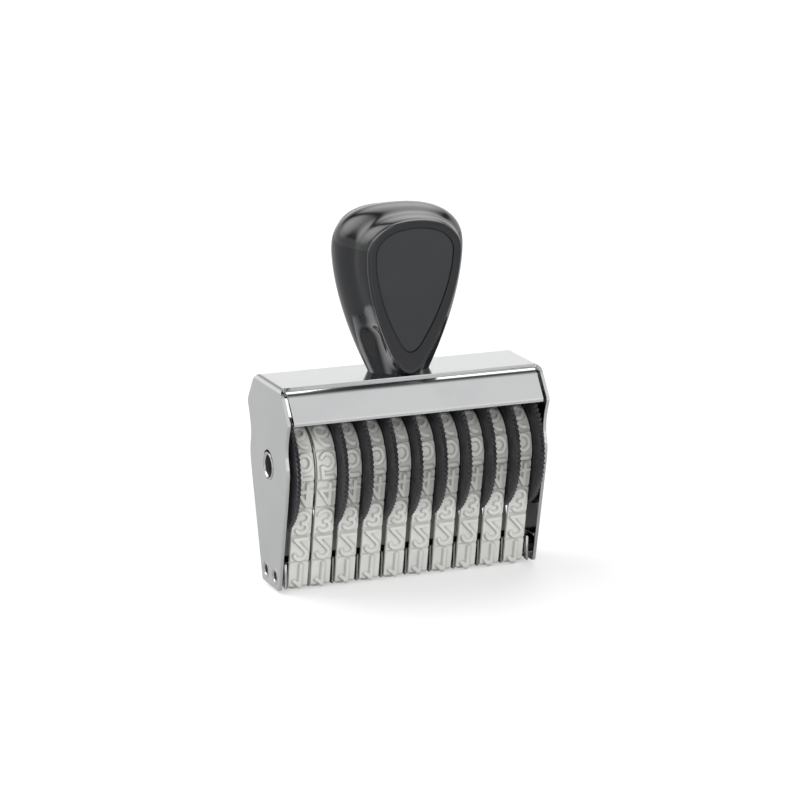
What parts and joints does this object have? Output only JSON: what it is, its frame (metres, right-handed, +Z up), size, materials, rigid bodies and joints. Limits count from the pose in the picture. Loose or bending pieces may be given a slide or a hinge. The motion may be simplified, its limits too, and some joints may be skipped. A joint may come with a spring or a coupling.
{
  "type": "numbering machine",
  "caption": "Hand numbering stamp: bent steel frame with a row of rubber number bands on serrated thumbwheels over a platen, with a moulded handle on top.",
  "frame": {"origin": "on the printing plane, below the middle of the frame", "axes": "+X along the row of bands, -Y the front that faces the user, +Z up through the handle"},
  "size_m": [0.0858, 0.0412, 0.1178],
  "materials": {
    "chromed_sheet": "bright chromed sheet",
    "platen_chrome": "bright chromed",
    "bright_steel": "bright zinc-plated steel",
    "wheel_plastic": "satin moulded black",
    "band_rubber": "matt light grey rubber",
    "handle_plastic": "glossy moulded black",
    "inset_plastic": "matt dark grey"
  },
  "bodies": {
    "root": {"frame": "chromed_sheet", "platen": "platen_chrome", "handle": "handle_plastic", "handle_inset": "inset_plastic", "handle_screw": "bright_steel", "handle_washer": "bright_steel", "wheel_axle": "bright_steel", "wheel_spacer": "bright_steel", "platen_rivet_left_front": "bright_steel", "platen_rivet_left_rear": "bright_steel", "platen_rivet_right_front": "bright_steel", "platen_rivet_right_rear": "bright_steel", "band_guide_1": "bright_steel", "band_guide_2": "bright_steel", "band_guide_3": "bright_steel", "band_guide_4": "bright_steel", "band_guide_5": "bright_steel", "band_guide_6": "bright_steel", "band_guide_7": "bright_steel", "band_guide_8": "bright_steel", "band_guide_9": "bright_steel", "number_band_1": "band_rubber", "number_band_2": "band_rubber", "number_band_3": "band_rubber", "number_band_4": "band_rubber", "number_band_5": "band_rubber", "number_band_6": "band_rubber", "number_band_7": "band_rubber", "number_band_8": "band_rubber", "number_band_9": "band_rubber", "number_band_10": "band_rubber"},
    "wheel_1": {"number_wheel_1": "wheel_plastic"},
    "wheel_2": {"number_wheel_2": "wheel_plastic"},
    "wheel_3": {"number_wheel_3": "wheel_plastic"},
    "wheel_4": {"number_wheel_4": "wheel_plastic"},
    "wheel_5": {"number_wheel_5": "wheel_plastic"},
    "wheel_6": {"number_wheel_6": "wheel_plastic"},
    "wheel_7": {"number_wheel_7": "wheel_plastic"},
    "wheel_8": {"number_wheel_8": "wheel_plastic"},
    "wheel_9": {"number_wheel_9": "wheel_plastic"},
    "wheel_10": {"number_wheel_10": "wheel_plastic"}
  },
  "joints": [
    {"name": "wheel_1_spin", "type": "hinge", "parent": "root", "child": "wheel_1", "pos_m": [0, 0, 0.039], "axis": [1, 0, 0], "continuous": true},
    {"name": "wheel_2_spin", "type": "hinge", "parent": "root", "child": "wheel_2", "pos_m": [0, 0, 0.039], "axis": [1, 0, 0], "continuous": true},
    {"name": "wheel_3_spin", "type": "hinge", "parent": "root", "child": "wheel_3", "pos_m": [0, 0, 0.039], "axis": [1, 0, 0], "continuous": true},
    {"name": "wheel_4_spin", "type": "hinge", "parent": "root", "child": "wheel_4", "pos_m": [0, 0, 0.039], "axis": [1, 0, 0], "continuous": true},
    {"name": "wheel_5_spin", "type": "hinge", "parent": "root", "child": "wheel_5", "pos_m": [0, 0, 0.039], "axis": [1, 0, 0], "continuous": true},
    {"name": "wheel_6_spin", "type": "hinge", "parent": "root", "child": "wheel_6", "pos_m": [0, 0, 0.039], "axis": [1, 0, 0], "continuous": true},
    {"name": "wheel_7_spin", "type": "hinge", "parent": "root", "child": "wheel_7", "pos_m": [0, 0, 0.039], "axis": [1, 0, 0], "continuous": true},
    {"name": "wheel_8_spin", "type": "hinge", "parent": "root", "child": "wheel_8", "pos_m": [0, 0, 0.039], "axis": [1, 0, 0], "continuous": true},
    {"name": "wheel_9_spin", "type": "hinge", "parent": "root", "child": "wheel_9", "pos_m": [0, 0, 0.039], "axis": [1, 0, 0], "continuous": true},
    {"name": "wheel_10_spin", "type": "hinge", "parent": "root", "child": "wheel_10", "pos_m": [0, 0, 0.039], "axis": [1, 0, 0], "continuous": true}
  ]
}
